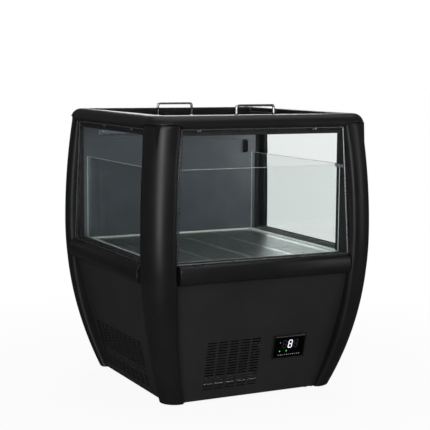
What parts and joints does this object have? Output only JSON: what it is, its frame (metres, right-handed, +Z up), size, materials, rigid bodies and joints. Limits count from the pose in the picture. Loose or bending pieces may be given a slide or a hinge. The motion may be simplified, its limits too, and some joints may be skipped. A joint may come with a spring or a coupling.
{
  "type": "open-top impulse cooler",
  "caption": "Barrel-sided square display cooler with glass walls on three sides, two sliding glass lids with bow handles, front thermostat display and recessed castors.",
  "frame": {"origin": "on the floor, under the middle of the cabinet, at the castor contact level", "axes": "+Z up, front towards -Y, +X to the right seen from the front"},
  "size_m": [0.752, 0.752, 0.8798],
  "materials": {
    "black_moulding": "satin black ABS moulding",
    "black_sheet": "satin black powder-coated steel",
    "clear_glass": "clear toughened glass",
    "aluminium": "satin anodised",
    "chrome": "bright chrome plate",
    "galvanised": "galvanised or zinc-plated steel, dull",
    "white_foam": "white moulded inner tub with foam behind it",
    "grey_liner": "semi-gloss grey liner",
    "copper": "bare copper tube",
    "black_enamel": "gloss black enamel",
    "grey_rubber": "dark grey rubber or nylon",
    "display_glass": "gloss black display window"
  },
  "bodies": {
    "cabinet": {"chassis_tray": "galvanised", "compressor": "black_enamel", "condenser": "galvanised", "condenser_fan_shroud": "galvanised", "corner_column_left": "black_moulding", "corner_column_right": "black_moulding", "deck": "galvanised", "discharge_pipe": "copper", "display_housing": "black_moulding", "display_window": "display_glass", "drip_tray": "black_moulding", "evaporator": "galvanised", "evaporator_cover": "grey_liner", "glass_front": "clear_glass", "glass_left": "clear_glass", "glass_right": "clear_glass", "inner_glass_front": "clear_glass", "inner_glass_left": "clear_glass", "inner_glass_right": "clear_glass", "led_bar": "clear_glass", "lid_lock": "chrome", "panel_front": "black_sheet", "panel_left": "black_sheet", "panel_rear": "black_sheet", "panel_right": "black_sheet", "post_front_left": "black_moulding", "post_front_right": "black_moulding", "post_rear_left": "black_moulding", "post_rear_right": "black_moulding", "power_inlet": "black_moulding", "rail_front": "black_moulding", "rail_left": "black_moulding", "rail_rear": "black_moulding", "rail_right": "black_moulding", "rear_skin": "black_sheet", "rear_wall": "grey_liner", "rim": "black_moulding", "top_frame": "black_moulding", "track_left": "grey_rubber", "track_right": "grey_rubber", "trim_front": "aluminium", "trim_left": "aluminium", "trim_right": "aluminium", "tub": "white_foam"},
    "front_lid": {"lid_front_frame": "aluminium", "lid_front_glass": "clear_glass", "lid_front_handle": "chrome"},
    "rear_lid": {"lid_rear_frame": "aluminium", "lid_rear_glass": "clear_glass", "lid_rear_handle": "chrome"},
    "condenser_fan": {"condenser_fan_blade": "aluminium"},
    "evaporator_fan": {"evaporator_fan_blade": "black_moulding"},
    "castor_front_left": {"castor_front_left": "black_moulding"},
    "wheels_front_left": {"wheels_front_left": "grey_rubber"},
    "castor_front_right": {"castor_front_right": "black_moulding"},
    "wheels_front_right": {"wheels_front_right": "grey_rubber"},
    "castor_rear_left": {"castor_rear_left": "black_moulding"},
    "wheels_rear_left": {"wheels_rear_left": "grey_rubber"},
    "castor_rear_right": {"castor_rear_right": "black_moulding"},
    "wheels_rear_right": {"wheels_rear_right": "grey_rubber"}
  },
  "joints": [
    {"name": "front_lid_slide", "type": "slide", "parent": "cabinet", "child": "front_lid", "axis": [0, 1, 0], "range_m": [0, 0.25]},
    {"name": "rear_lid_slide", "type": "slide", "parent": "cabinet", "child": "rear_lid", "axis": [0, 1, 0], "range_m": [-0.25, 0]},
    {"name": "condenser_fan_spin", "type": "hinge", "parent": "cabinet", "child": "condenser_fan", "pos_m": [-0.072, -0.173, 0.15], "axis": [0, 1, 0], "continuous": true},
    {"name": "evaporator_fan_spin", "type": "hinge", "parent": "cabinet", "child": "evaporator_fan", "pos_m": [0, 0, 0.387], "axis": [0, 0, 1], "continuous": true},
    {"name": "swivel_front_left", "type": "hinge", "parent": "cabinet", "child": "castor_front_left", "pos_m": [-0.22, -0.22, 0.055], "axis": [0, 0, 1], "continuous": true},
    {"name": "roll_front_left", "type": "hinge", "parent": "castor_front_left", "child": "wheels_front_left", "pos_m": [-0.22, -0.234, 0.022], "axis": [1, 0, 0], "continuous": true},
    {"name": "swivel_front_right", "type": "hinge", "parent": "cabinet", "child": "castor_front_right", "pos_m": [0.22, -0.22, 0.055], "axis": [0, 0, 1], "continuous": true},
    {"name": "roll_front_right", "type": "hinge", "parent": "castor_front_right", "child": "wheels_front_right", "pos_m": [0.22, -0.234, 0.022], "axis": [1, 0, 0], "continuous": true},
    {"name": "swivel_rear_left", "type": "hinge", "parent": "cabinet", "child": "castor_rear_left", "pos_m": [-0.22, 0.22, 0.055], "axis": [0, 0, 1], "continuous": true},
    {"name": "roll_rear_left", "type": "hinge", "parent": "castor_rear_left", "child": "wheels_rear_left", "pos_m": [-0.22, 0.206, 0.022], "axis": [1, 0, 0], "continuous": true},
    {"name": "swivel_rear_right", "type": "hinge", "parent": "cabinet", "child": "castor_rear_right", "pos_m": [0.22, 0.22, 0.055], "axis": [0, 0, 1], "continuous": true},
    {"name": "roll_rear_right", "type": "hinge", "parent": "castor_rear_right", "child": "wheels_rear_right", "pos_m": [0.22, 0.206, 0.022], "axis": [1, 0, 0], "continuous": true}
  ]
}
